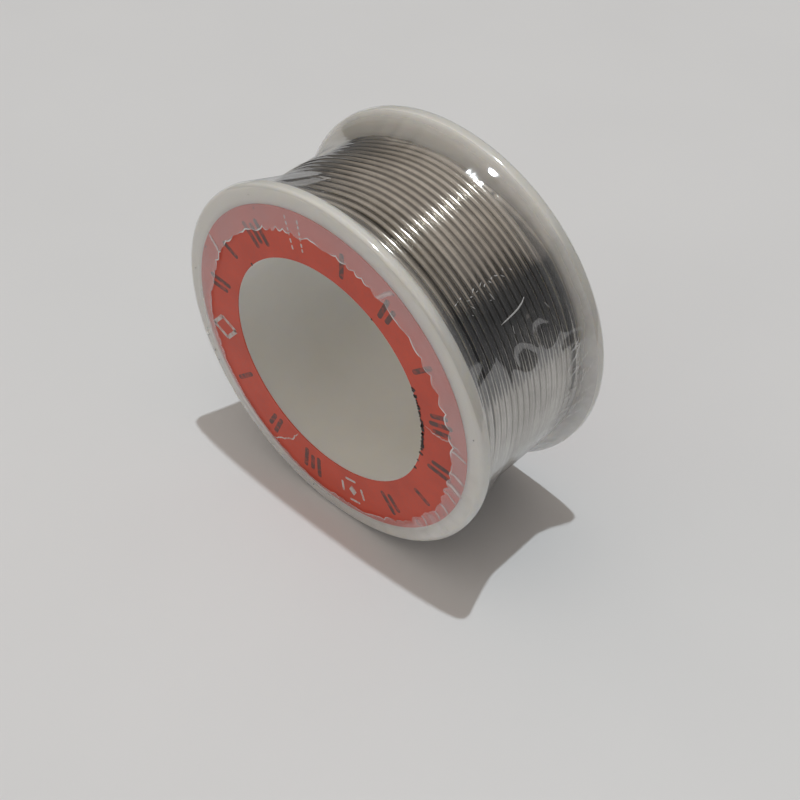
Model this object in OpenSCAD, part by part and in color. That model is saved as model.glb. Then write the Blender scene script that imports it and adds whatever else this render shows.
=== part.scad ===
// Reel of rosin-cored solder wire in clear shrink film.
// The reel's axis lies along Y and the front face looks towards -Y. The origin is at
// the middle of the bore, and the reel stands on its two rims.

/* [Reel] */
// Diameter over the flanges
flange_d = 40; // [36:0.5:60]
// Width over the two flange faces
reel_w = 18; // [14:0.5:30]
// Diameter of the spindle bore
bore_d = 25; // [18:0.5:26]
// Wall of the drum that the wire is wound on
drum_wall = 0.9; // [0.7:0.1:2]
// Thickness of each flange
flange_t = 1.3; // [1:0.1:2.5]
// Rounding of the rims
rim_round = 0.45; // [0.2:0.05:0.5]
// Rounding of the bore's two edges
bore_round = 0.1; // [0.1:0.05:0.4]
// Fillet between each flange and the drum
root_fillet = 0.3; // [0.1:0.05:0.4]
// Wall left on the drum's rear end, where the rear flange is pressed on
spigot_wall = 0.5; // [0.4:0.05:0.6]

/* [Wire] */
// Diameter of the solder wire
wire_d = 0.8; // [0.6:0.1:1.2]
// Diameter of the rosin core inside the wire
core_d = 0.3; // [0.2:0.05:0.4]
// Turns in a full layer
full_turns = 18; // [8:1:24]
// Free space between the last turn of a full layer and the flange
end_gap = 0.03; // [0.02:0.01:0.2]
// Angle above +X where the loose tail begins, in degrees
tail_from = 68; // [0:1:90]
// Arc that the tail covers before its cut end, in degrees
tail_arc = 128; // [20:1:300]

/* [Labels] */
// Outer diameter of the paper labels
label_od = 36.2; // [30:0.1:38]
// Inner diameter of the paper labels
label_id = 25.2; // [25.2:0.1:28]
// Thickness of the paper labels
label_t = 0.1; // [0.08:0.01:0.2]

/* [Film] */
// Thickness of the shrink film
film_t = 0.06; // [0.04:0.01:0.1]
// Radius of the film's edge where it is folded in over the faces
fold_r = 16.2; // [15:0.1:17.5]
// Half width of the stretch where the film lies on the wire
waist_y = 4.4; // [2:0.1:5]
// Slope at which the film leaves the rims towards the wire, in degrees
neck_slope = 35; // [20:1:50]

/* [Hidden] */
LAYERS = 7;
LAYER_NODES = [for (i = [1:LAYERS]) str("wire_layer_", i)];
$fn = 96;

rim_r = flange_d / 2;
half_w = reel_w / 2;
bore_r = bore_d / 2;
drum_r = bore_r + drum_wall;
spigot_r = bore_r + spigot_wall;
inner_y = half_w - flange_t;

// Turns lie in the hollows of the layer below, so each layer starts half a turn further in.
turn_pitch = (2 * inner_y - wire_d - 2 * end_gap) / (full_turns - 1);
layer_rise = sqrt(pow(wire_d, 2) - pow(turn_pitch / 2, 2));
layer_gap = 0.005;

function layer_r(i) = drum_r + wire_d / 2 + layer_gap + (i - 1) * (layer_rise + layer_gap);
function layer_is_short(i) = i % 2 == 0;
function layer_turns(i) = i == LAYERS || layer_is_short(i) ? full_turns - 1 : full_turns;
function layer_first_y(i) = -(full_turns - 1) * turn_pitch / 2 + (layer_is_short(i) ? turn_pitch / 2 : 0);

winding_r = layer_r(LAYERS) + wire_d / 2;
tail_y = layer_first_y(1) + (full_turns - 1) * turn_pitch;

// The film's neck is a power curve that leaves the rim's rounding along its tangent.
film_lift = film_t / 2 + 0.01;
corner_r = rim_round + film_lift;
corner = [rim_r - rim_round, half_w - rim_round];
inner_corner = [rim_r - rim_round, inner_y + rim_round];
neck_top = inner_corner + corner_r * [cos(neck_slope), -sin(neck_slope)];
waist_r = winding_r + film_lift;
neck_power = tan(neck_slope) * (neck_top[1] - waist_y) / (neck_top[0] - waist_r);
face_y = half_w + label_t + film_lift;
arc_steps = 8;
neck_steps = 12;

white_plastic = [0.90, 0.89, 0.86];
solder = [0.72, 0.71, 0.69];
rosin = [0.80, 0.55, 0.20];
label_red = [0.68, 0.22, 0.17];
clear_film = [0.85, 0.90, 0.95, 0.35];

// Revolves a section drawn as [radius, distance along the reel's axis] about the Y axis.
module revolve(arc = 360) {
    rotate([-90, 0, 0])
        rotate_extrude(angle = arc)
            children();
}

// A rectangle from r0 to r1 and y0 to y1 whose inner and outer corners are rounded.
module rounded_section(r0, r1, y0, y1, inner, outer) {
    translate([r0 + inner, y0])
        square([r1 - outer - r0 - inner, y1 - y0]);
    translate([r0, y0 + inner])
        square([inner + outer, y1 - y0 - 2 * inner]);
    translate([r1 - inner - outer, y0 + outer])
        square([inner + outer, y1 - y0 - 2 * outer]);
    for (y = [y0 + inner, y1 - inner])
        translate([r0 + inner, y])
            circle(inner);
    for (y = [y0 + outer, y1 - outer])
        translate([r1 - outer, y])
            circle(outer);
}

// The concave fillet in the corner at [r, y]; side is 1 when the flange lies beyond y.
module fillet_section(r, y, side) {
    difference() {
        translate([r - root_fillet, min(y, y - side * root_fillet)])
            square([2 * root_fillet, root_fillet]);
        translate([r + root_fillet, y - side * root_fillet])
            circle(root_fillet);
    }
}

// One flange's section; side is -1 at the front and 1 at the rear, and r0 is its hole.
module flange_section(side, r0, inner) {
    y0 = side < 0 ? -half_w : inner_y;
    rounded_section(r0, rim_r, y0, y0 + flange_t, inner, rim_round);
}

module reel_body() {
    color(white_plastic)
        revolve() {
            flange_section(-1, bore_r, bore_round);
            translate([bore_r, -half_w + bore_round])
                square([drum_wall, half_w - bore_round + inner_y]);
            rounded_section(bore_r, spigot_r, -half_w, half_w, bore_round, bore_round / 2);
            fillet_section(drum_r, -inner_y, -1);
        }
}

module reel_rear_flange() {
    color(white_plastic)
        revolve() {
            translate([spigot_r, inner_y])
                square([rim_r / 4, flange_t]);
            flange_section(1, spigot_r, bore_round);
        }
}

// One wound layer: a closed ring for each turn.
module wire_layer(i) {
    color(solder)
        for (turn = [0:layer_turns(i) - 1])
            revolve()
                translate([layer_r(i), layer_first_y(i) + turn * turn_pitch])
                    circle(wire_d / 2);
}

// Places a section at the tail's radius and sweeps it along the tail's arc.
module tail_sweep() {
    rotate([0, -tail_from, 0])
        revolve(tail_arc)
            translate([layer_r(LAYERS), tail_y])
                children();
}

module wire_tail() {
    color(solder)
        tail_sweep()
            difference() {
                circle(wire_d / 2);
                circle(core_d / 2);
            }
}

module flux_core() {
    color(rosin)
        tail_sweep()
            circle(core_d / 2);
}

// A paper ring on one face; side is -1 at the front and 1 at the rear.
module label(side) {
    color(label_red)
        revolve()
            translate([label_id / 2, side < 0 ? -half_w - label_t : half_w])
                square([(label_od - label_id) / 2, label_t]);
}

function arc_points(centre, r, from, to) =
    [for (k = [0:arc_steps]) let (a = from + (to - from) * k / arc_steps) centre + r * [cos(a), sin(a)]];
function neck_point(t) =
    [waist_r + (neck_top[0] - waist_r) * pow(t, neck_power), waist_y + (neck_top[1] - waist_y) * t];

// The middle line of the film's rear half, from the waist to the folded edge. It is flat
// from the label's edge inwards.
half_line = concat(
    [for (k = [0:neck_steps - 1]) neck_point(k / neck_steps)],
    arc_points(inner_corner, corner_r, -neck_slope, 0),
    arc_points(corner, corner_r, 0, 90),
    [for (r = [label_od / 2 + film_t, label_od / 2, fold_r]) [r, face_y]]
);
film_line = concat([for (k = [len(half_line) - 1:-1:0]) [half_line[k][0], -half_line[k][1]]], half_line);

// The unit normal of the film's line at point k, from its two neighbours.
function line_normal(p, k) =
    let (d = p[min(k + 1, len(p) - 1)] - p[max(k - 1, 0)]) [d[1], -d[0]] / norm(d);
function offset_line(p, by) = [for (k = [0:len(p) - 1]) p[k] + by * line_normal(p, k)];

module shrink_film() {
    outside = offset_line(film_line, film_t / 2);
    inside = offset_line(film_line, -film_t / 2);
    color(clear_film)
        revolve()
            polygon(concat(outside, [for (k = [len(inside) - 1:-1:0]) inside[k]]));
}

reel_body();
reel_rear_flange();
for (i = [1:LAYERS])
    wire_layer(i);
wire_tail();
flux_core();
label(-1);  // label_front
label(1);  // label_rear
shrink_film();
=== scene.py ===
"""Looks for a small reel of solder wire in clear shrink film.

The reel's axis lies along Y, the front face looks towards -Y and the reel stands on its rims.
Shapes are worked out in millimetres, with the angle around the axis measured from +X
towards +Z, and are scaled to metres when a mesh is made.
"""

import math

import bpy
import numpy as np
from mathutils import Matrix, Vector


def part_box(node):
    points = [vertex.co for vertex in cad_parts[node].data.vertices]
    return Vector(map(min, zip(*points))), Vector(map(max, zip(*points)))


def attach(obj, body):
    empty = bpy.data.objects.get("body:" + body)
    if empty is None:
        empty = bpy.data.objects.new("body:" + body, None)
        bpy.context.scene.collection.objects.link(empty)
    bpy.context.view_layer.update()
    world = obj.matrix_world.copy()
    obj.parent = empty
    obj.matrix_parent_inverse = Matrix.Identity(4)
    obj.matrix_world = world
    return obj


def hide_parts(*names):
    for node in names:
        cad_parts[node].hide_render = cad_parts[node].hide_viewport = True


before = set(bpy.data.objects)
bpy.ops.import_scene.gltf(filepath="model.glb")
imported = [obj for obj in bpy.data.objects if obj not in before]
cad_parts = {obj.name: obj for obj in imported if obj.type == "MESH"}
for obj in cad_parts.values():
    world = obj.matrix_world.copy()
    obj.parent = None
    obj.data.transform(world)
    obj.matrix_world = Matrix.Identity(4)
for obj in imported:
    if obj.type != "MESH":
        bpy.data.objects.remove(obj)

MM = 0.001
TURN = 2 * math.pi
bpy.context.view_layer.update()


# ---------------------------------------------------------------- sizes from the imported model
def box_mm(node):
    """A CAD node's lowest and highest corner, in millimetres."""
    low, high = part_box(node)
    return np.array(low) / MM, np.array(high) / MM


TAIL_LOW, TAIL_HIGH = box_mm("wire_tail")
WIRE_R = (TAIL_HIGH[1] - TAIL_LOW[1]) / 2
TAIL_Y = (TAIL_HIGH[1] + TAIL_LOW[1]) / 2
CORE_LOW, CORE_HIGH = box_mm("flux_core")
CORE_R = (CORE_HIGH[1] - CORE_LOW[1]) / 2
REEL_HIGH = box_mm("reel_body")[1]
RIM_R = REEL_HIGH[0]
HALF_W = REEL_HIGH[1]
LABEL_R = box_mm("label_front")[1][0]
LABEL_Y = -box_mm("label_front")[0][1]
LAYER_BOXES = [box_mm(f"wire_layer_{i}") for i in range(1, 8)]
LAYER_R = [high[0] - WIRE_R for _, high in LAYER_BOXES]
FIRST_Y = [low[1] + WIRE_R for low, _ in LAYER_BOXES]
LAYERS = len(LAYER_BOXES)
FULL_TURNS = 18
PITCH = (TAIL_Y - FIRST_Y[0]) / (FULL_TURNS - 1)

RIM_ROUND = 0.45
INNER_Y = 7.7
FILM_LIFT = 0.04

# The wire changes slot in one sector of the reel, which starts here and runs downwards.
CROSS_FROM = math.radians(107)
CROSS_ARC = math.radians(29)
TAIL_CROSS_FROM = math.radians(90)
TAIL_CROSS_ARC = math.radians(54)
# The outermost layer stops this far along the axis, before its last turn slides to the flange.
PACKED_TO = 5.8
TAIL_FROM = math.radians(68)
TAIL_TO = math.radians(-60)


# ---------------------------------------------------------------- small maths
def smooth(t):
    """Smooth step from 0 to 1 as t goes from 0 to 1."""
    t = np.clip(t, 0, 1)
    return t * t * (3 - 2 * t)


def wave_noise(seed, count, k_low, k_high, m_high):
    """A smooth random function of angle and distance, periodic in angle, about -1 to 1."""
    rng = np.random.default_rng(seed)
    k = rng.integers(k_low, k_high + 1, count)
    m = rng.uniform(-m_high, m_high, count)
    phase = rng.uniform(0, TURN, count)
    scale = 1 / math.sqrt(count / 2)

    def value(angle, y):
        total = 0
        for a, b, c in zip(k, m, phase):
            total = total + np.cos(a * angle + b * y + c)
        return total * scale * 0.6

    return value


def around(angle, centre, half_width):
    """A smooth bump of height 1 at centre, an angle in degrees, that is 0 beyond half_width."""
    d = np.abs((np.degrees(angle) - centre + 180) % 360 - 180)
    return smooth(1 - d / half_width)


def cylindrical(r, angle, y):
    """Points in millimetres from radius, angle and distance along the axis."""
    r, angle, y = np.broadcast_arrays(r, angle, y)
    return np.stack([r * np.cos(angle), y, r * np.sin(angle)], -1)


# ---------------------------------------------------------------- meshes
def make_object(name, points, faces, material, slot, replaced=(), flip=False):
    """A smooth mesh object from points in millimetres, riding on the reel.
    With flip, its faces are turned over."""
    if flip:
        faces = [face[::-1] for face in faces]
    mesh = bpy.data.meshes.new(name)
    mesh.from_pydata((np.asarray(points) * MM).tolist(), [], faces)
    mesh.polygons.foreach_set("use_smooth", np.ones(len(mesh.polygons), bool))
    mesh.materials.append(material)
    mesh.validate()
    mesh.update()
    obj = bpy.data.objects.new(name, mesh)
    bpy.context.scene.collection.objects.link(obj)
    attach(obj, "root")
    if replaced:
        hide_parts(*replaced)
    return obj


def grid_faces(rows, columns, wrap_columns=False, wrap_rows=False, start=0):
    """Quads over a grid of points stored row by row."""
    r = np.arange(rows if wrap_rows else rows - 1)
    c = np.arange(columns if wrap_columns else columns - 1)
    r, c = np.meshgrid(r, c, indexing="ij")
    r2, c2 = (r + 1) % rows, (c + 1) % columns
    quads = np.stack(
        [r * columns + c, r * columns + c2, r2 * columns + c2, r2 * columns + c], -1
    )
    return (quads.reshape(-1, 4) + start).tolist()


def tube(path, radius, sides, hollow=0.0, hollow_depth=0):
    """A round tube along a path that runs around the reel's axis, closed at both ends.
    A hollow ends the last end in a hole of that radius, hollow_depth path points deep."""
    path = np.asarray(path, float)
    tangent = np.gradient(path, axis=0)
    tangent /= np.linalg.norm(tangent, axis=1)[:, None]
    out = path * [1, 0, 1]
    out /= np.linalg.norm(out, axis=1)[:, None]
    side = np.cross(tangent, out)
    side /= np.linalg.norm(side, axis=1)[:, None]
    out = np.cross(side, tangent)
    a = np.arange(sides) * TURN / sides
    radius = np.broadcast_to(radius, len(path))
    rings = (
        path[:, None]
        + radius[:, None, None] * np.cos(a)[None, :, None] * out[:, None]
        + radius[:, None, None] * np.sin(a)[None, :, None] * side[:, None]
    )
    if hollow:
        inner = (
            path[:, None]
            + hollow * np.cos(a)[None, :, None] * out[:, None]
            + hollow * np.sin(a)[None, :, None] * side[:, None]
        )
        back = inner[::-1][: hollow_depth + 1]
        rings = np.concatenate([rings, back])
    points = rings.reshape(-1, 3)
    faces = grid_faces(len(rings), sides, wrap_columns=True)
    first = list(range(sides))
    last = [len(points) - sides + i for i in range(sides)]
    faces.append(first[::-1])
    faces.append(last)
    return points, faces


def joined(parts):
    """Several (points, faces) as one."""
    points, faces, n = [], [], 0
    for p, f in parts:
        points.append(np.asarray(p))
        faces.extend([[i + n for i in face] for face in f])
        n += len(p)
    return np.concatenate(points), faces


# ---------------------------------------------------------------- materials
class Nodes:
    """Short calls for building a node tree."""

    def __init__(self, tree):
        self.tree = tree
        tree.nodes.clear()

    def add(self, kind, **settings):
        node = self.tree.nodes.new(kind)
        for key, value in settings.items():
            setattr(node, key, value)
        return node

    def link(self, source, target):
        self.tree.links.new(source, target)

    def fill(self, node, **inputs):
        """Sets or links a node's inputs by name, with _ for a space."""
        for key, value in inputs.items():
            socket = node.inputs[key.replace("_", " ")]
            if isinstance(value, bpy.types.NodeSocket):
                self.link(value, socket)
            else:
                socket.default_value = value
        return node

    def math(self, operation, a, b=0.0, clamp=False):
        node = self.add("ShaderNodeMath", operation=operation, use_clamp=clamp)
        for socket, value in zip(node.inputs, (a, b)):
            if isinstance(value, bpy.types.NodeSocket):
                self.link(value, socket)
            else:
                socket.default_value = value
        return node.outputs[0]

    def noise(self, coordinate, scale, detail=2.0, roughness=0.5, distortion=0.0):
        node = self.add("ShaderNodeTexNoise")
        self.fill(
            node,
            Vector=coordinate,
            Scale=scale,
            Detail=detail,
            Roughness=roughness,
            Distortion=distortion,
        )
        return node.outputs["Fac"]

    def ramp(self, factor, stops):
        """A colour ramp with (position, colour) stops."""
        node = self.add("ShaderNodeValToRGB")
        elements = node.color_ramp.elements
        while len(elements) < len(stops):
            elements.new(0.5)
        for element, (position, colour) in zip(elements, stops):
            element.position = position
            element.color = (*colour, 1.0)
        self.link(factor, node.inputs["Fac"])
        return node.outputs["Color"]

    def band(self, value, low, high, out_low=0.0, out_high=1.0):
        """Maps value from low..high to out_low..out_high, clamped."""
        node = self.add("ShaderNodeMapRange")
        self.fill(
            node,
            Value=value,
            From_Min=low,
            From_Max=high,
            To_Min=out_low,
            To_Max=out_high,
        )
        return node.outputs["Result"]

    def bump(self, height, strength, distance, normal=None):
        node = self.add("ShaderNodeBump")
        self.fill(node, Height=height, Strength=strength, Distance=distance)
        if normal is not None:
            self.link(normal, node.inputs["Normal"])
        return node.outputs["Normal"]

    def output(self, shader):
        self.link(shader, self.add("ShaderNodeOutputMaterial").inputs["Surface"])


def new_material(name):
    material = bpy.data.materials.new(name)
    material.use_nodes = True
    return material, Nodes(material.node_tree)


def plastic_material():
    """Ivory moulded plastic: soft gloss, faint clouding, fine grain and a few specks."""
    material, n = new_material("ivory_plastic")
    place = n.add("ShaderNodeTexCoord").outputs["Object"]
    cloud = n.noise(place, 140, 3)
    tint = n.ramp(
        n.band(cloud, 0.3, 0.7), [(0.0, (0.83, 0.81, 0.75)), (1.0, (0.87, 0.855, 0.805))]
    )
    speck = n.noise(place, 620, 1)
    dark = n.math("GREATER_THAN", speck, 0.835)
    mix = n.add("ShaderNodeMix", data_type="RGBA")
    n.link(dark, mix.inputs["Factor"])
    n.link(tint, mix.inputs["A"])
    mix.inputs["B"].default_value = (0.16, 0.14, 0.12, 1)
    grain = n.noise(place, 2600, 2)
    wave = n.noise(place, 260, 2)
    normal = n.bump(grain, 0.10, 0.00003)
    normal = n.bump(wave, 0.25, 0.0001, normal)
    rough = n.band(cloud, 0.3, 0.7, 0.34, 0.46)
    shader = n.add("ShaderNodeBsdfPrincipled")
    n.fill(
        shader,
        Base_Color=mix.outputs["Result"],
        Roughness=rough,
        Normal=normal,
    )
    shader.inputs["IOR"].default_value = 1.5
    shader.inputs["Subsurface Weight"].default_value = 0.6
    shader.inputs["Subsurface Radius"].default_value = (1.0, 0.85, 0.60)
    shader.inputs["Subsurface Scale"].default_value = 0.0018
    n.output(shader.outputs[0])
    return material


def solder_material():
    """Bright drawn tin-lead wire with light scuffs and die lines."""
    material, n = new_material("solder_wire")
    place = n.add("ShaderNodeTexCoord").outputs["Object"]
    cloud = n.noise(place, 420, 3)
    lay = n.add("ShaderNodeAttribute", attribute_name="lay").outputs["Vector"]
    streak = n.noise(lay, 8.0, 2, 0.6)
    shade = n.math("ADD", n.math("MULTIPLY", cloud, 0.4), n.math("MULTIPLY", streak, 0.6))
    tint = n.ramp(
        n.band(shade, 0.35, 0.65), [(0.0, (0.38, 0.36, 0.325)), (1.0, (0.60, 0.58, 0.54))]
    )
    scuff = n.noise(place, 3200, 3)
    rough = n.math(
        "ADD", n.band(cloud, 0.3, 0.7, 0.09, 0.14), n.band(scuff, 0.5, 0.75, 0.0, 0.08)
    )
    normal = n.bump(scuff, 0.05, 0.00001)
    normal = n.bump(streak, 0.30, 0.000012, normal)
    shader = n.add("ShaderNodeBsdfPrincipled")
    n.fill(shader, Base_Color=tint, Metallic=1.0, Roughness=rough, Normal=normal)
    n.output(shader.outputs[0])
    return material


def rosin_material():
    """Amber rosin with a slight cloudiness."""
    material, n = new_material("rosin_core")
    place = n.add("ShaderNodeTexCoord").outputs["Object"]
    cloud = n.noise(place, 2500, 2)
    tint = n.ramp(cloud, [(0.3, (0.52, 0.26, 0.05)), (0.8, (0.72, 0.42, 0.12))])
    shader = n.add("ShaderNodeBsdfPrincipled")
    n.fill(
        shader,
        Base_Color=tint,
        Roughness=n.band(cloud, 0.3, 0.7, 0.22, 0.34),
        Normal=n.bump(cloud, 0.1, 0.00002),
    )
    n.output(shader.outputs[0])
    return material


def paper_material(name, light, dark, worn=None):
    """Printed coated paper: fibre mottling, soft gloss and, for ink, worn spots."""
    material, n = new_material(name)
    place = n.add("ShaderNodeTexCoord").outputs["Object"]
    fibre = n.noise(place, 3800, 3, 0.6)
    cloud = n.noise(place, 260, 3)
    amount = n.math(
        "ADD", n.math("MULTIPLY", cloud, 0.6), n.math("MULTIPLY", fibre, 0.4)
    )
    colour = n.ramp(n.band(amount, 0.35, 0.65), [(0.0, dark), (1.0, light)])
    if worn is not None:
        spots = n.noise(place, 1500, 4, 0.7)
        mix = n.add("ShaderNodeMix", data_type="RGBA")
        n.link(n.band(spots, 0.48, 0.60), mix.inputs["Factor"])
        n.link(colour, mix.inputs["A"])
        mix.inputs["B"].default_value = (*worn, 1)
        colour = mix.outputs["Result"]
    shader = n.add("ShaderNodeBsdfPrincipled")
    n.fill(
        shader,
        Base_Color=colour,
        Roughness=n.band(fibre, 0.3, 0.7, 0.38, 0.52),
        Normal=n.bump(fibre, 0.15, 0.00003),
    )
    n.output(shader.outputs[0])
    return material


def film_material():
    """Clear shrink film: see-through, glossy by the angle, milky where it is creased, with a painted
    dark edge where it is seen edge-on, and darker than clear film for shadow rays that meet it at a
    slant."""
    material, n = new_material("shrink_film")
    place = n.add("ShaderNodeTexCoord").outputs["Object"]
    haze = n.add("ShaderNodeAttribute", attribute_name="haze").outputs["Fac"]
    ripple = n.noise(place, 900, 3, 0.55, 0.4)
    crinkle = n.noise(place, 2600, 2)
    normal = n.bump(ripple, 0.10, 0.00003)
    normal = n.bump(crinkle, 0.03, 0.00001, normal)
    edge_on = n.add("ShaderNodeLayerWeight")
    n.fill(edge_on, Blend=0.5, Normal=normal)
    steep = n.math("POWER", edge_on.outputs["Facing"], 5.5)
    shine = n.math("ADD", n.math("MULTIPLY", steep, 0.55), 0.16, clamp=True)
    clear = n.add("ShaderNodeBsdfTransparent")
    # Edge-on the see-through colour drops to 0.30, far more than thin film absorbs: a painted dark
    # edge that stands in for the dark that real film refracts at its edges.
    along_sheet = n.math("POWER", edge_on.outputs["Facing"], 9.0)
    tone = n.ramp(along_sheet, [(0.25, (0.985, 0.985, 0.985)), (0.95, (0.30, 0.30, 0.32))])
    shadow = n.add("ShaderNodeLightPath").outputs["Is Shadow Ray"]
    shade = n.add("ShaderNodeMix", data_type="RGBA")
    slanted = n.band(edge_on.outputs["Facing"], 0.2, 0.75)
    n.link(n.math("MULTIPLY", shadow, slanted), shade.inputs["Factor"])
    n.link(tone, shade.inputs["A"])
    shade.inputs["B"].default_value = (0.16, 0.16, 0.16, 1)
    n.link(shade.outputs["Result"], clear.inputs["Color"])
    polish = n.band(crinkle, 0.3, 0.7, 0.05, 0.09)
    gloss = n.add("ShaderNodeBsdfGlossy")
    n.fill(
        gloss,
        Color=(0.95, 0.96, 0.98, 1),
        Roughness=n.math("ADD", polish, n.math("MULTIPLY", haze, 0.25)),
        Normal=normal,
    )
    sheet = n.add("ShaderNodeMixShader")
    dimmed = n.band(along_sheet, 0.5, 1.0, 1.0, 0.35)
    n.link(n.math("MULTIPLY", shine, dimmed), sheet.inputs[0])
    n.link(clear.outputs[0], sheet.inputs[1])
    n.link(gloss.outputs[0], sheet.inputs[2])
    milk = n.add("ShaderNodeBsdfPrincipled")
    n.fill(
        milk, Base_Color=(0.84, 0.84, 0.85, 1), Roughness=0.35, Normal=normal
    )
    mottled = n.math(
        "MULTIPLY", haze, n.band(ripple, 0.25, 0.75, 0.9, 1.1), clamp=True
    )
    fading = n.band(along_sheet, 0.3, 0.9, 1.0, 0.1)
    film = n.add("ShaderNodeMixShader")
    n.link(n.math("MULTIPLY", mottled, fading), film.inputs[0])
    n.link(sheet.outputs[0], film.inputs[1])
    n.link(milk.outputs[0], film.inputs[2])
    n.output(film.outputs[0])
    return material


# ---------------------------------------------------------------- the wound wire
def slots(layer):
    """Where a layer's turns lie along the axis, in the order they are wound."""
    if layer == LAYERS:
        return outer_slots()
    turns = FULL_TURNS if layer % 2 else FULL_TURNS - 1
    y = FIRST_Y[layer - 1] + np.arange(turns) * PITCH
    return y if layer % 2 else y[::-1]


def outer_slots():
    """The outermost layer's turns: closely packed, with a wider gap after the third, and
    the last one lying against the rear flange."""
    rng = np.random.default_rng(11)
    slack = rng.uniform(0.2, 1.0, FULL_TURNS - 2) ** 1.5
    slack[2] = 7.5
    room = (PACKED_TO - FIRST_Y[0]) - (FULL_TURNS - 2) * 2 * WIRE_R
    gaps = 2 * WIRE_R + room * slack / slack.sum()
    packed = FIRST_Y[0] + np.concatenate([[0], np.cumsum(gaps)])
    return np.append(packed, TAIL_Y)


def rise(offset):
    """How much higher a turn rides when it lies off the hollow between two turns below."""
    hollow = PITCH / 2
    off = np.abs((offset + hollow) % PITCH - hollow)
    away = hollow - off
    full = (2 * WIRE_R) ** 2
    return np.sqrt(full - away**2) - math.sqrt(full - hollow**2)


WANDER_Y = wave_noise(21, 9, 1, 7, 0.9)
WANDER_R = wave_noise(22, 9, 1, 6, 0.9)


# How far each layer is pulled in at the upper left, towards the rear flange.
SINK = [0.0, 0.0, 0.02, 0.06, 0.14, 0.24, 0.36]


def wound_path(layer, steps):
    """Angle, distance along the axis and radius along a layer, turn after turn."""
    y_slots = slots(layer)
    before = slots(layer - 1)[-1] if layer > 1 else y_slots[0]
    r_before = LAYER_R[layer - 2] if layer > 1 else LAYER_R[0]
    r_here = LAYER_R[layer - 1]
    turns = len(y_slots)
    run = np.linspace(0, TURN * turns, turns * steps + 1)
    turn = np.minimum((run / TURN).astype(int), turns - 1)
    local = run - TURN * turn
    late = (layer == LAYERS) & (turn == turns - 1)
    start = np.where(late, CROSS_FROM - TAIL_CROSS_FROM, 0)
    arc = np.where(late, TAIL_CROSS_ARC, CROSS_ARC)
    t = (local - start) / arc
    step = smooth(t)
    came_from = np.where(turn == 0, before, y_slots[np.maximum(turn - 1, 0)])
    y = came_from + (y_slots[turn] - came_from) * step
    r = np.where(turn == 0, r_before + (r_here - r_before) * step, r_here)
    angle = CROSS_FROM - run
    if layer == LAYERS:
        nominal = FIRST_Y[0] + np.arange(turns) * PITCH
        settled = smooth(run / CROSS_ARC)
        r = r + settled * rise(y_slots - nominal)[turn]
        r = r + settled * 0.1 * np.sin(math.pi * np.clip(t, 0, 1)) ** 2
        r = r + settled * 0.018 * (1 + WANDER_R(angle, y))
        y = y + settled * 0.022 * WANDER_Y(angle, y)
    r = r - SINK[layer - 1] * around(angle, 138, 62) * smooth((y - 0.3) / 2.4)
    return angle, y, r


def set_lay(obj, rings, sides, ring_step):
    """Stores where each point lies around and along its wire, for the fine die lines."""
    a = np.arange(sides) * TURN / sides
    ring = np.arange(rings)[:, None]
    around_x = np.broadcast_to(WIRE_R * np.cos(a), (rings, sides))
    around_y = np.broadcast_to(WIRE_R * np.sin(a), (rings, sides))
    along = np.broadcast_to(ring * ring_step * 0.012, (rings, sides))
    lay = np.stack([around_x, around_y, along], -1)
    layer = obj.data.attributes.new("lay", "FLOAT_VECTOR", "POINT")
    layer.data.foreach_set("vector", lay.astype(np.float32).ravel())


def build_wire(metal, rosin):
    """The winding, one object a layer, with its loose tail and the rosin in its cut end."""
    for layer in range(1, LAYERS):
        outermost_but_one = layer == LAYERS - 1
        steps, sides = (144, 14) if outermost_but_one else (72, 8)
        angle, y, r = wound_path(layer, steps)
        points, faces = tube(cylindrical(r, angle, y), WIRE_R * 0.995, sides)
        wire = make_object(
            f"wound_wire_{layer}", points, faces, metal, "solder", [f"wire_layer_{layer}"]
        )
        set_lay(wire, len(points) // sides, sides, TURN * LAYER_R[layer - 1] / steps)
    steps, sides = 240, 20
    angle, y, r = wound_path(LAYERS, steps)
    last_turn = -TURN * (FULL_TURNS - 1)
    split = int(np.argmax(angle < last_turn + TAIL_FROM))
    end = int(np.argmax(angle < last_turn + TAIL_TO))
    path = cylindrical(r, angle, y)
    ring_step = TURN * LAYER_R[-1] / steps
    points, faces = tube(path[: split + 1], WIRE_R * 0.99, sides)
    wire = make_object(
        f"wound_wire_{LAYERS}", points, faces, metal, "solder", [f"wire_layer_{LAYERS}"]
    )
    set_lay(wire, len(points) // sides, sides, ring_step)
    points, faces = tube(path[split : end + 1], WIRE_R * 0.99, sides, CORE_R, 3)
    tail = make_object("wire_tail_end", points, faces, metal, "solder", ["wire_tail"])
    set_lay(tail, len(points) // sides, sides, ring_step)
    points, faces = tube(path[split + 1 : end + 1], CORE_R * 0.97, 12)
    make_object("rosin_core", points, faces, rosin, "rosin", ["flux_core"])


def crest_table():
    """For each whole degree, the outer turns' distances along the axis and radii."""
    angle, y, r = wound_path(LAYERS, 360)
    whole = np.round(np.degrees(angle)).astype(int) % 360
    crest_y = np.full((360, FULL_TURNS), np.nan)
    crest_r = np.full((360, FULL_TURNS), np.nan)
    turn = np.minimum(((CROSS_FROM - angle) / TURN).astype(int), FULL_TURNS - 1)
    gone = angle < -TURN * (FULL_TURNS - 1) + TAIL_TO
    crest_y[whole, turn] = np.where(gone, np.nan, y)
    crest_r[whole, turn] = np.where(gone, np.nan, r + WIRE_R)
    return crest_y, crest_r


# ---------------------------------------------------------------- the shrink film
TENSION = wave_noise(31, 14, 18, 70, 0.35)
SECTOR = wave_noise(32, 6, 2, 9, 0.1)
SWELL = wave_noise(33, 10, 3, 16, 0.5)
CRUMPLE = wave_noise(34, 16, 20, 60, 3.2)


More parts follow.
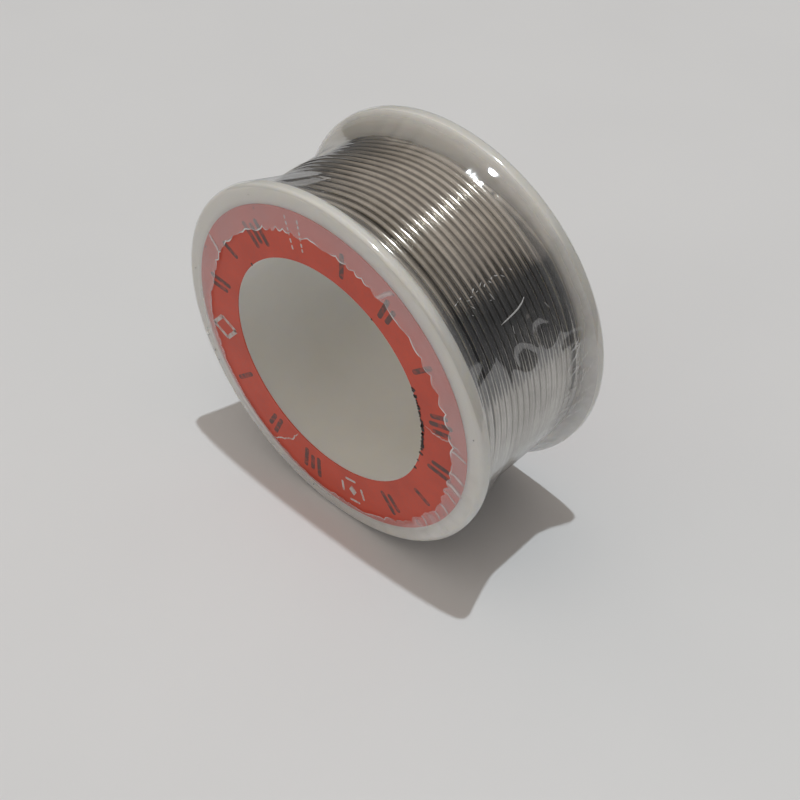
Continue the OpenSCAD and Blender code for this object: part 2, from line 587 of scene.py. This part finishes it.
def neck(y, side, r_low):
    """The film's radius in the neck between the winding and a rim; side is -1 or 1."""
    if side < 0:
        low_y, slope = 2.6, math.radians(20)
    else:
        low_y, slope = 3.6, math.radians(39)
    corner = RIM_ROUND + FILM_LIFT
    top_r = RIM_R - RIM_ROUND + corner * math.cos(slope)
    top_y = INNER_Y + RIM_ROUND - corner * math.sin(slope)
    power = np.maximum(math.tan(slope) * (top_y - low_y) / (top_r - r_low), 1.0)
    t = np.clip((y - low_y) / (top_y - low_y), 0, 1)
    return r_low + (top_r - r_low) * t**power


def neck_end(side):
    """Distance along the axis at which the neck meets the rim's rounding, and its slope."""
    slope = math.radians(20 if side < 0 else 39)
    return INNER_Y + RIM_ROUND - (RIM_ROUND + FILM_LIFT) * math.sin(slope), slope


def rim_arc(side, count):
    """Radius and distance of the film around a rim, from its neck to the flat face."""
    corner = RIM_ROUND + FILM_LIFT
    _, slope = neck_end(side)
    a = np.linspace(-slope, 0, count)
    b = np.linspace(0, math.pi / 2, count)
    rounding = RIM_R - RIM_ROUND
    r = np.concatenate([rounding + corner * np.cos(a), rounding + corner * np.cos(b)])
    y = np.concatenate(
        [INNER_Y + RIM_ROUND + corner * np.sin(a), HALF_W - RIM_ROUND + corner * np.sin(b)]
    )
    return r[1:], y[1:]


BULGES = [(23.0, -0.3, 1.45, 0.27), (25.5, 2.7, 1.50, 0.30), (19.5, 6.4, 0.7, 0.05)]


def ring_bulge(angle, y, centre, along, size):
    """A ring-shaped swelling in the film around one point, 1 at its crest."""
    across = RIM_R * 0.92 * (angle - math.radians(centre))
    across = np.where(across > TURN, across - TURN * RIM_R * 0.92, across)
    away = np.hypot(across * 0.85, y - along + 0.25 * across)
    return np.exp(-(((away - size) / 0.62) ** 2))


def flat_spot(r, angle, y):
    """Draws the film flat in one small place in the rear neck, where it catches the lamp."""
    turn = angle - math.radians(70.7)
    slope = math.radians(18.7)
    plane = (19.40 + (y - 6.98) * math.tan(slope)) / np.cos(np.clip(turn, -0.3, 0.3))
    away = np.hypot(19.4 * turn / 1.25, (y - 6.98) / 0.85)
    return r + (plane - r) * smooth((1.0 - away) / 0.55)


def sleeve_haze(a, y):
    """How milky the sleeve is: faint on the wire, stronger in the necks and low at the rear, where
    the milk is partly painted light on the rear flange's inner face.
    """
    worn = around(a, 125, 22) * smooth(1 - np.abs(y + 1.5) / 5.0)
    haze = 0.006 + 0.02 * (SWELL(a, y) - 0.1).clip(0)
    haze = haze + 0.12 * worn * (0.3 + CRUMPLE(a, y)).clip(0)
    haze = haze + 0.05 * around(a, 14, 26) * smooth(1 - np.abs(y - 1.0) / 8.0)
    # The rear neck grows milkier towards the rim: partly the film's milk, partly painted light that
    # makes the rear flange's inner face pale at the rim and tan near the winding.
    haze = haze + 0.07 * smooth((y - 4.6) / 1.4) + 0.26 * smooth((y - 6.3) / 1.5)
    haze = haze + 0.10 * smooth((-y - 6.3) / 1.4)
    haze = haze + 0.30 * around(a, -27, 34) * smooth((y - 3.6) / 2.2)
    # More milk in the rear neck on the right: painted light that makes the rear flange's inner face
    # paler there.
    haze = haze + 0.20 * around(a, 4, 24) * smooth((y - 5.6) / 1.2)
    return haze


def film_sleeve(material):
    """The film from rim to rim: tight on the wire, free in the two necks."""
    columns = 640
    angle = np.arange(columns) * TURN / columns
    crest_y, crest_r = crest_table()
    degree = np.degrees(angle)
    low, share = np.floor(degree).astype(int) % 360, degree % 1
    high = (low + 1) % 360
    turn_y = crest_y[low] * (1 - share[:, None]) + crest_y[high] * share[:, None]
    turn_r = crest_r[low] * (1 - share[:, None]) + crest_r[high] * share[:, None]

    end_front, _ = neck_end(-1)
    end_rear, _ = neck_end(1)
    y_line = np.concatenate(
        [
            np.linspace(-end_front, -5.2, 14)[:-1],
            np.linspace(-5.2, 5.2, 105),
            np.linspace(5.2, end_rear, 14)[1:],
        ]
    )
    rows = []
    pick = np.arange(columns)
    crest = np.nanmean(turn_r, axis=1)
    for y in y_line:
        away = np.abs(turn_y - y)
        near = np.nanargmin(away, axis=1)
        d = away[pick, near]
        sag = 0.014 * (1 - np.cos(TURN * np.clip(d, 0, PITCH / 2) / PITCH)) / 2
        r_low = crest + 0.045 - sag
        rows.append(neck(abs(y), -1 if y < 0 else 1, r_low))
    r = np.array(rows)
    y = np.repeat(y_line[:, None], columns, 1)
    a = np.repeat(angle[None, :], len(y_line), 0)

    free = smooth((np.abs(y) - 2.5) / 2.5) * smooth((8.0 - np.abs(y)) / 1.2)
    pleats = np.maximum(TENSION(a, y), -0.2) * smooth(0.5 + SECTOR(a, y))
    r = r + 0.06 * free * pleats
    tight = smooth((7.6 - np.abs(y)) / 2.5)
    r = r + 0.02 * tight * (0.6 + SWELL(a, y)).clip(0)
    for centre, along, size, height in BULGES:
        r = r + height * ring_bulge(a, y, centre, along, size)
    r = flat_spot(r, a, y)
    gather = around(a, -2, 16) * smooth((y - 4.0) / 1.5) * smooth((8.0 - y) / 1.0)
    r = r + 0.07 * gather * np.sin(a * 60 + y * 4.5 + 1.5 * np.sin(y * 2.1))
    haze = sleeve_haze(a, y)

    arc_f_r, arc_f_y = rim_arc(-1, 6)
    arc_r_r, arc_r_y = rim_arc(1, 6)
    front = np.repeat(arc_f_r[::-1][:, None], columns, 1)
    rear = np.repeat(arc_r_r[:, None], columns, 1)
    r = np.concatenate([front, r, rear])
    y = np.concatenate(
        [
            np.repeat(-arc_f_y[::-1][:, None], columns, 1),
            y,
            np.repeat(arc_r_y[:, None], columns, 1),
        ]
    )
    haze = np.concatenate(
        [np.full(front.shape, 0.06), haze, np.full(rear.shape, 0.10)]
    )
    points = cylindrical(r, angle[None, :], y).reshape(-1, 3)
    faces = grid_faces(len(r), columns, wrap_columns=True)
    obj = make_object(
        "film_sleeve", points, faces, material, "clear_film", ["shrink_film"], flip=True
    )
    set_haze(obj, haze)
    levels = y[:, 0]

    def surface(at_angle, at_y):
        """The film's radius at angles and distances on the winding, from the nearest points."""
        row = np.clip(np.searchsorted(levels, at_y), 1, len(levels) - 2)
        column = np.round(np.asarray(at_angle) / TURN * columns).astype(int) % columns
        return np.max([r[row - 1, column], r[row, column], r[row + 1, column]], axis=0)

    return surface


def set_haze(obj, haze):
    """Stores how milky the film is at each point."""
    layer = obj.data.attributes.new("haze", "FLOAT", "POINT")
    layer.data.foreach_set("value", np.asarray(haze, np.float32).ravel())


def fold_edge(angle, side):
    """The radius of the film's free edge over a face: wide at the top, thin below."""
    degree = np.degrees(angle)
    keys = [-180, -165, -150, -120, -80, -60, -42, -10, 10, 45, 100, 170, 180]
    radii = [16.6, 17.0, 17.2, 17.3, 17.4, 17.3, 16.9, 16.4, 16.3, 15.9, 15.7, 15.9, 16.6]
    wrapped = (degree + 180) % 360 - 180
    if side > 0:
        wrapped = (wrapped + 200) % 360 - 180
    base = np.interp(wrapped, keys, radii)
    seed = 41 if side < 0 else 51
    shift = wave_noise(seed, 8, 2, 11, 0.0)(angle, 0.0)
    lobe = np.abs(np.sin(angle * 27 + 2.6 * shift))
    size = 0.30 + 0.18 * wave_noise(seed + 1, 8, 3, 20, 0.0)(angle, 0.0)
    fine = 0.05 * wave_noise(seed + 2, 10, 40, 110, 0.0)(angle, 0.0)
    return base - size.clip(0.05) * lobe**0.7 + 0.2 + fine, lobe


def film_fold(name, side, material):
    """The film folded in over one face, milky, with a wavy free edge that fades out where
    soft is 1."""
    columns, rows = 960, 26
    angle = np.arange(columns) * TURN / columns
    edge, lobe = fold_edge(angle, side)
    outer = RIM_R - RIM_ROUND
    s = 1 - (1 - np.linspace(0, 1, rows)) ** 1.6
    r = outer + (edge - outer)[None, :] * s[:, None]
    a = np.repeat(angle[None, :], rows, 0)
    lift = HALF_W + FILM_LIFT + (LABEL_Y - HALF_W) * smooth((LABEL_R + 0.7 - r) / 0.6)
    seed = 45 if side < 0 else 55
    ripple = wave_noise(seed, 14, 30, 120, 1.2)
    broad = wave_noise(seed + 1, 8, 6, 24, 0.6)
    inward = smooth((outer - r) / 1.5)
    lift = lift + inward * 0.008 * (0.8 + ripple(a, r)).clip(0)
    lift = lift + inward * 0.025 * (0.8 + broad(a, r)).clip(0)
    curl = smooth((s[:, None] - 0.80) / 0.20) * (0.05 + 0.10 * lobe[None, :])
    lift = lift + curl * smooth((outer - edge) / 2.0)[None, :]
    thin = 1 - 0.6 * around(a, -38, 42) - 0.5 * around(a, 100, 48) + 0.7 * around(a, 4, 26)
    haze = 0.04 + 0.10 * smooth((LABEL_R + 0.5 - r) / 0.4) * (1 + 0.25 * broad(a, r)) * thin
    rim = r - edge[None, :]
    soft = (around(a, 225, 75) + around(a, -36, 44)).clip(0, 1)
    haze = haze * (1 - soft * (1 - smooth(rim / 0.8)))
    haze = haze + 0.34 * around(a, 225, 75) * smooth((r - 17.1) / 1.0)
    patchy = around(a, -36, 44) * (0.2 + broad(a * 2, r)).clip(0)
    haze = haze + 0.22 * patchy * smooth(rim / 0.5)
    curled = (0.55 + 0.6 * wave_noise(seed + 3, 10, 9, 40, 0.0)(a, 0.0)).clip(0.08, 0.9)
    curled = curled * (1 - 0.85 * soft)
    haze = haze + curled * smooth((0.11 + 0.08 * curled - rim) / 0.07)
    for centre in (2, -8, -14, -19, -26, -32, -41, 60, 151):
        width = 0.7 + 0.5 * math.sin(centre * 1.7) ** 2
        crease = around(a + 0.02 * (r - LABEL_R), centre, width)
        crease = crease * smooth((r - edge[None, :]) / 0.2)
        crease = crease * smooth((LABEL_R + 0.3 - r) / 0.8)
        if side > 0:
            crease = np.roll(crease, 250, axis=1)
        haze = haze + 0.5 * crease
        lift = lift + 0.10 * crease
    points = cylindrical(r, a, side * lift).reshape(-1, 3)
    faces = grid_faces(rows, columns, wrap_columns=True)
    obj = make_object(
        name, points, faces, material, "clear_film", ["shrink_film"], flip=side > 0
    )
    set_haze(obj, haze.clip(0, 0.9))
    return obj


def film_line(surface, line, width):
    """A fine raised line on the film through the given (degrees, distance) points, for a scratch or
    for a painted glint.
    """
    degrees, along = np.array(line).T
    t = np.linspace(0, 1, 24)
    keys = np.linspace(0, 1, len(degrees))
    a = np.radians(np.interp(t, keys, degrees))
    y = np.interp(t, keys, along)
    r = surface(a, y) + 0.012
    path = cylindrical(r, a, y)
    tangent = np.gradient(path, axis=0)
    tangent /= np.linalg.norm(tangent, axis=1)[:, None]
    up = cylindrical(1.0, a, 0.0)
    across = np.cross(tangent, up)
    taper = (width * np.sin(math.pi * t) ** 0.7 + 0.01)[:, None]
    ridge = path + up * 0.03
    rows = np.stack([path + across * taper, ridge, path - across * taper], 0)
    return rows.reshape(-1, 3), grid_faces(3, len(t))


def film_scratches_and_painted_glints(surface, material):
    """Milky raised lines on the sleeve: a long curved scratch, a ragged row of painted glints along
    a slight fold, a few short scratches, and slanting streaks low at the rear that are painted
    glints of the pleated film."""
    lines = [
        film_line(surface, [(35.0, -1.5), (35.3, -0.4), (35.8, 0.9), (36.6, 1.7), (37.6, 2.2)], 0.07)
    ]
    rng = np.random.default_rng(71)
    # A ragged row along a slight fold: milky bits that paint the film's glints there.
    for along in np.linspace(-5.6, 2.2, 15):
        degree = 47.3 + rng.normal(0, 0.7)
        y = along + rng.normal(0, 0.15)
        length, rise = rng.uniform(0.10, 0.40), rng.uniform(-1.0, 1.0)
        lines.append(
            film_line(
                surface,
                [(degree, y), (degree + rise * 0.6, y + length / 2), (degree + rise, y + length)],
                rng.uniform(0.015, 0.045),
            )
        )
    for _ in range(6):
        degree, y = rng.uniform(30, 46), rng.uniform(-4.5, 4.5)
        length, rise = rng.uniform(0.1, 0.4), rng.uniform(-2.5, 2.5)
        lines.append(film_line(surface, [(degree, y), (degree + rise, y + length)], 0.02))
    # Slanting streaks low at the rear: milky ridges that paint glints on the pleated film.
    for _ in range(20):
        degree, y = rng.uniform(-17, 14), rng.uniform(4.6, 6.6)
        length, rise = rng.uniform(0.5, 1.3), rng.uniform(1.5, 6.0)
        bend = rng.normal(0, 0.8)
        middle = (degree + rise * 0.5 + bend, y + length / 2)
        lines.append(
            film_line(
                surface, [(degree, y), middle, (degree + rise, y + length)], rng.uniform(0.03, 0.09)
            )
        )
    points, faces = joined(lines)
    obj = make_object("film_scratches_and_painted_glints", points, faces, material, "clear_film", ["shrink_film"])
    # The milk makes the scratches white and paints the glints of the row and the streaks.
    set_haze(obj, np.full(len(points), 0.55))


# ---------------------------------------------------------------- the labels' print
def face_point(r, angle, along, across):
    """A flat point on a face: along the radius and across it, from radius r at an angle."""
    out = np.array([math.cos(angle), math.sin(angle)])
    side = np.array([-math.sin(angle), math.cos(angle)])
    return out * (r + along) + side * across


def plate(outline, side, height):
    """A thin plate with the given outline on a label; side is -1 at the front."""
    count = len(outline)
    low = side * LABEL_Y
    high = side * (LABEL_Y + height)
    base = [(x, low, z) for x, z in outline]
    top = [(x, high, z) for x, z in outline]
    faces = [list(range(count)), list(range(2 * count - 1, count - 1, -1))]
    for i in range(count):
        j = (i + 1) % count
        faces.append([i, i + count, j + count, j])
    return np.array(base + top), faces


def bar(r, angle, length, width, tilt, side, height):
    """A bar with rounded ends lying along the radius, turned by tilt."""
    outline = []
    for end in (1, -1):
        for k in range(7):
            a = math.pi * (k / 6 - 0.5)
            along = end * ((length - width) / 2 + width / 2 * math.cos(a))
            across = end * width / 2 * math.sin(a)
            c, s = math.cos(tilt), math.sin(tilt)
            outline.append(
                face_point(r, angle, along * c - across * s, along * s + across * c)
            )
    return plate(outline, side, height)


def dark_marks(side):
    """Plain bars in groups of one, two and three around the label."""
    marks = []
    for place in range(16):
        if place in (0, 4, 12):
            continue
        angle = math.radians(192 - 22.5 * place)
        count = (1, 2, 1, 3, 2)[place % 5]
        for k in range(count):
            across = (k - (count - 1) / 2) * 0.95
            turn = across / 15.2
            length = 3.0 if (k + place) % 2 else 2.3
            marks.append(bar(15.2, angle + turn, length, 0.55, 0.12, side, 0.008))
    return joined(marks)


def frame_mark(r, angle, half_long, half_wide, width, side, height):
    """The outline of a diamond, as four bars."""
    corners = [(half_long, 0), (0, half_wide), (-half_long, 0), (0, -half_wide)]
    bars = []
    for k in range(4):
        (a0, c0), (a1, c1) = corners[k], corners[(k + 1) % 4]
        length = math.hypot(a1 - a0, c1 - c0)
        ux, uy = (a1 - a0) / length, (c1 - c0) / length
        outline = []
        for along, across in ((0, -1), (1, -1), (1, 1), (0, 1)):
            x = a0 + (along * length) * ux - across * width / 2 * uy
            y = c0 + (along * length) * uy + across * width / 2 * ux
            outline.append(face_point(r, angle, x, y))
        bars.append(plate(outline, side, height))
    return joined(bars)


def light_marks(side):
    """A diamond outline, a solid diamond with dashes, and two rows of tiny dashes."""
    marks = [frame_mark(15.4, math.radians(192), 1.75, 1.35, 0.46, side, 0.010)]
    angle = math.radians(-78)
    diamond = [
        face_point(15.2, angle, *corner) for corner in ((0.7, 0), (0, 0.55), (-0.7, 0), (0, -0.55))
    ]
    marks.append(plate(diamond, side, 0.010))
    for away in (-1.45, 1.45):
        marks.append(bar(15.2 + away, angle, 1.5, 0.3, math.pi / 2, side, 0.010))
        marks.append(bar(15.2, angle + away / 15.2, 1.5, 0.3, 0, side, 0.010))
    rng = np.random.default_rng(61)
    for row in (-0.75, 0.75):
        r = 14.1
        while r < 17.4:
            length = rng.uniform(0.28, 0.5)
            marks.append(
                bar(r, math.radians(102) + row / 15.6, length, 0.20, 0, side, 0.010)
            )
            r += length + 0.2
    return joined(marks)


def speck(r, angle, size, rng, side):
    """A tiny ragged dark plate on a face; side is -1 at the front."""
    outline = []
    for k in range(7):
        a = TURN * k / 7
        reach = size * rng.uniform(0.45, 1.0)
        outline.append(face_point(r, angle, reach * math.cos(a), reach * math.sin(a)))
    return plate(outline, side, 0.03)


def front_dirt_and_edge_shade():
    """Dark bits on the front: a row along the label's inner edge that is painted shade, where the
    label's ragged edge overhangs the bore, and a few specks of grime on its rim and the flange's.
    """
    rng = np.random.default_rng(81)
    dirt_and_edge_shade_bits = []
    # Painted shade: dark bits along the label's ragged inner edge, where it overhangs the bore.
    for degree in np.concatenate([np.linspace(26, -6, 30), [-10, -15, -21, 60, 143]]):
        angle = math.radians(degree + rng.normal(0, 0.8))
        size = rng.uniform(0.12, 0.34)
        dirt_and_edge_shade_bits.append(speck(12.55 + 0.6 * size, angle, size, rng, -1))
    # Specks of grime on the label's rim, then on the flange's border.
    for degree in (158, 118, 64, -30, -118):
        angle = math.radians(degree + rng.normal(0, 3))
        dirt_and_edge_shade_bits.append(speck(17.6 + rng.uniform(0, 0.3), angle, rng.uniform(0.07, 0.13), rng, -1))
    for degree in (13, 118, 171, 196, 199, 205, 209, 262):
        angle = math.radians(degree + rng.normal(0, 1))
        dirt_and_edge_shade_bits.append(speck(rng.uniform(18.8, 19.3), angle, rng.uniform(0.05, 0.11), rng, -1))
    return joined(dirt_and_edge_shade_bits)


def crease_line(points_2d, width, side):
    """A fine raised line on a label through the given (radius, degrees) points."""
    radii, degrees = np.array(points_2d).T
    t = np.linspace(0, 1, 40)
    keys = np.linspace(0, 1, len(radii))
    r = np.interp(t, keys, radii)
    a = np.radians(np.interp(t, keys, degrees))
    wiggle = 0.06 * np.sin(t * 23) + 0.04 * np.sin(t * 51 + 1)
    a = a + wiggle / r
    path = cylindrical(r, a, side * LABEL_Y)
    tangent = np.gradient(path, axis=0)
    tangent /= np.linalg.norm(tangent, axis=1)[:, None]
    up = np.array([0, side, 0.0])
    across = np.cross(tangent, up)
    taper = width * (0.35 + 0.65 * np.sin(math.pi * t))[:, None]
    ridge = path + up * 0.035 * np.sin(math.pi * t)[:, None] + up * 0.006
    rows = np.stack([path - across * taper, ridge, path + across * taper], 0)
    return rows.reshape(-1, 3), grid_faces(3, len(t))


def build_labels():
    """Better paper on the CAD labels, the printed marks, and two creases at the front."""
    red = paper_material("label_paper", (0.72, 0.084, 0.038), (0.60, 0.068, 0.032))
    ink = paper_material(
        "label_dark_print", (0.17, 0.065, 0.055), (0.09, 0.045, 0.040), (0.40, 0.06, 0.04)
    )
    white = paper_material(
        "label_light_print", (0.72, 0.68, 0.66), (0.60, 0.54, 0.52), (0.62, 0.30, 0.26)
    )
    for node in ("label_front", "label_rear"):
        assign(node, red)
    for side, word in ((-1, "front"), (1, "rear")):
        points, faces = dark_marks(side)
        flat(
            make_object(
                f"dark_print_{word}", points, faces, ink, "label_paper", flip=side < 0
            )
        )
        points, faces = light_marks(side)
        flat(
            make_object(
                f"light_print_{word}", points, faces, white, "label_paper", flip=side < 0
            )
        )
    # Dark paper for the specks of grime and for the painted shade along the label's inner edge.
    dirt_and_edge_shade_paper = paper_material("dark_dirt_and_painted_edge_shade", (0.050, 0.032, 0.030), (0.022, 0.016, 0.016))
    points, faces = front_dirt_and_edge_shade()
    flat(make_object("front_dirt_and_edge_shade", points, faces, dirt_and_edge_shade_paper, "label_paper", flip=True))
    creases = joined(
        [
            crease_line([(12.9, -112), (14.6, -113), (16.3, -117), (17.9, -120)], 0.10, -1),
            crease_line([(13.1, 8), (14.6, 6), (16.2, 6.5), (17.4, 4.5)], 0.09, -1),
        ]
    )
    make_object("label_creases", *creases, white, "label_paper", flip=True)


def flat(obj):
    """Plain flat shading, for the thin print."""
    count = len(obj.data.polygons)
    obj.data.polygons.foreach_set("use_smooth", np.zeros(count, bool))
    return obj


def assign(node, material):
    """Puts a better material on every slot of a CAD node."""
    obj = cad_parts[node]
    if not obj.material_slots:
        obj.data.materials.append(material)
    for slot in obj.material_slots:
        slot.material = material


# ---------------------------------------------------------------- stage, light and camera
def build_floor():
    """A plain pale table top under the rims."""
    size = 3.0
    level = (-RIM_R - FILM_LIFT - 0.005) * MM
    points = [(-size, -size, level), (size, -size, level), (size, size, level), (-size, size, level)]
    mesh = bpy.data.meshes.new("table_top")
    mesh.from_pydata(points, [], [(0, 1, 2, 3)])
    material, n = new_material("table_top")
    place = n.add("ShaderNodeTexCoord").outputs["Object"]
    tone = n.ramp(
        n.noise(place, 30, 3), [(0.3, (0.740, 0.747, 0.765)), (0.7, (0.760, 0.767, 0.785))]
    )
    shader = n.add("ShaderNodeBsdfPrincipled")
    n.fill(shader, Base_Color=tone, Roughness=0.55)
    n.output(shader.outputs[0])
    mesh.materials.append(material)
    floor = bpy.data.objects.new("table_top", mesh)
    bpy.context.scene.collection.objects.link(floor)


def build_backdrop():
    """Low dark boards at both sides, which only show as the dark parts of reflections."""
    low, high, near, far = -0.0200, 0.030, -0.20, 0.30
    points, faces = [], []
    for x in (0.085, -0.20):
        faces.append([len(points) + k for k in range(4)])
        points += [(x, near, low), (x, far, low), (x, far, high), (x, near, high)]
    mesh = bpy.data.meshes.new("dark_board")
    mesh.from_pydata(points, [], faces)
    material, n = new_material("dark_board")
    place = n.add("ShaderNodeTexCoord").outputs["Object"]
    tone = n.ramp(
        n.noise(place, 20, 2), [(0.3, (0.060, 0.061, 0.065)), (0.7, (0.072, 0.073, 0.078))]
    )
    glow = n.add("ShaderNodeEmission")
    n.link(tone, glow.inputs["Color"])
    n.output(glow.outputs[0])
    mesh.materials.append(material)
    board = bpy.data.objects.new("dark_board", mesh)
    board.visible_camera = False
    board.visible_diffuse = False
    board.visible_shadow = False
    bpy.context.scene.collection.objects.link(board)


def build_world():
    """Soft warm room light, dimmer low at the rear left, and a dark side to the right. The
    camera itself sees a plain pale background."""
    world = bpy.data.worlds.new("room")
    bpy.context.scene.world = world
    world.use_nodes = True
    n = Nodes(world.node_tree)
    direction = n.add("ShaderNodeTexCoord").outputs["Generated"]
    parts = n.add("ShaderNodeSeparateXYZ")
    n.link(direction, parts.inputs[0])
    x, y, z = parts.outputs
    flat_length = n.math(
        "SQRT", n.math("ADD", n.math("MULTIPLY", x, x), n.math("MULTIPLY", y, y))
    )
    toward_right = n.math("DIVIDE", x, n.math("MAXIMUM", flat_length, 0.001))
    right = n.band(toward_right, 0.12, 0.34)
    low = n.band(z, 0.60, 0.545)
    dark = n.math("MULTIPLY", right, low)
    warm = n.ramp(
        n.band(z, 0.0, 1.0),
        [
            (0.0, (0.18, 0.175, 0.17)),
            (0.30, (0.21, 0.195, 0.18)),
            (0.62, (0.49, 0.44, 0.395)),
            (1.0, (0.655, 0.59, 0.525)),
        ],
    )
    mix = n.add("ShaderNodeMix", data_type="RGBA")
    n.link(dark, mix.inputs["Factor"])
    n.link(warm, mix.inputs["A"])
    mix.inputs["B"].default_value = (0.080, 0.081, 0.086, 1)
    behind = n.math("MULTIPLY", n.band(y, 0.2, 0.5), n.band(z, 0.85, 0.5))
    behind = n.math("MULTIPLY", behind, n.band(x, 0.1, -0.3))
    lean = n.math("ADD", n.math("MULTIPLY", x, -0.22), n.math("MULTIPLY", y, -0.42))
    background = n.add("ShaderNodeBackground")
    seen = n.add("ShaderNodeLightPath").outputs["Is Camera Ray"]
    level = n.math("ADD", lean, 1.0)
    level = n.math("MULTIPLY", level, n.band(behind, 0.0, 1.0, 1.0, 0.42))
    n.link(level, background.inputs["Strength"])
    n.link(mix.outputs["Result"], background.inputs["Color"])
    pale = n.add("ShaderNodeBackground")
    pale.inputs["Color"].default_value = (0.50, 0.50, 0.495, 1)
    either = n.add("ShaderNodeMixShader")
    n.link(seen, either.inputs[0])
    n.link(background.outputs[0], either.inputs[1])
    n.link(pale.outputs[0], either.inputs[2])
    n.link(either.outputs[0], n.add("ShaderNodeOutputWorld").inputs["Surface"])


def build_key_light():
    """A compact lamp almost straight overhead, a little behind the reel."""
    away = 1.3
    toward = Vector((0.018, 0.075, 0.997)).normalized()
    lamp = bpy.data.lights.new("overhead_lamp", "AREA")
    lamp.shape = "DISK"
    lamp.size = 0.026
    lamp.energy = 6.6
    lamp.color = (0.90, 0.97, 1.0)
    obj = bpy.data.objects.new("overhead_lamp", lamp)
    obj.location = toward * away
    obj.rotation_mode = "QUATERNION"
    obj.rotation_quaternion = toward.to_track_quat("Z", "Y")
    bpy.context.scene.collection.objects.link(obj)


def build_camera():
    """The camera at the front right, looking down on the reel."""
    azimuth, elevation, distance = math.radians(43.60), math.radians(42.12), 0.13616
    pan, tilt = math.radians(-0.56), math.radians(3.085)
    camera = bpy.data.cameras.new("view_camera")
    camera.lens = 60.8
    camera.sensor_width = 36.0
    camera.clip_start = 0.01
    camera.clip_end = 20.0
    obj = bpy.data.objects.new("view_camera", camera)
    back = Vector(
        (
            math.sin(azimuth) * math.cos(elevation),
            -math.cos(azimuth) * math.cos(elevation),
            math.sin(elevation),
        )
    )
    obj.location = back * distance
    azimuth += pan
    elevation += tilt
    look = -Vector(
        (
            math.sin(azimuth) * math.cos(elevation),
            -math.cos(azimuth) * math.cos(elevation),
            math.sin(elevation),
        )
    )
    obj.rotation_mode = "QUATERNION"
    obj.rotation_quaternion = look.to_track_quat("-Z", "Y")
    bpy.context.scene.collection.objects.link(obj)
    bpy.context.scene.camera = obj


def main():
    plastic = plastic_material()
    for node in ("reel_body", "reel_rear_flange"):
        assign(node, plastic)
    build_wire(solder_material(), rosin_material())
    build_labels()
    film = film_material()
    surface = film_sleeve(film)
    film_scratches_and_painted_glints(surface, film)
    film_fold("film_fold_front", -1, film)
    film_fold("film_fold_rear", 1, film)
    build_floor()
    build_backdrop()
    build_world()
    build_key_light()
    build_camera()
    bpy.context.scene.view_settings.view_transform = "Standard"


main()
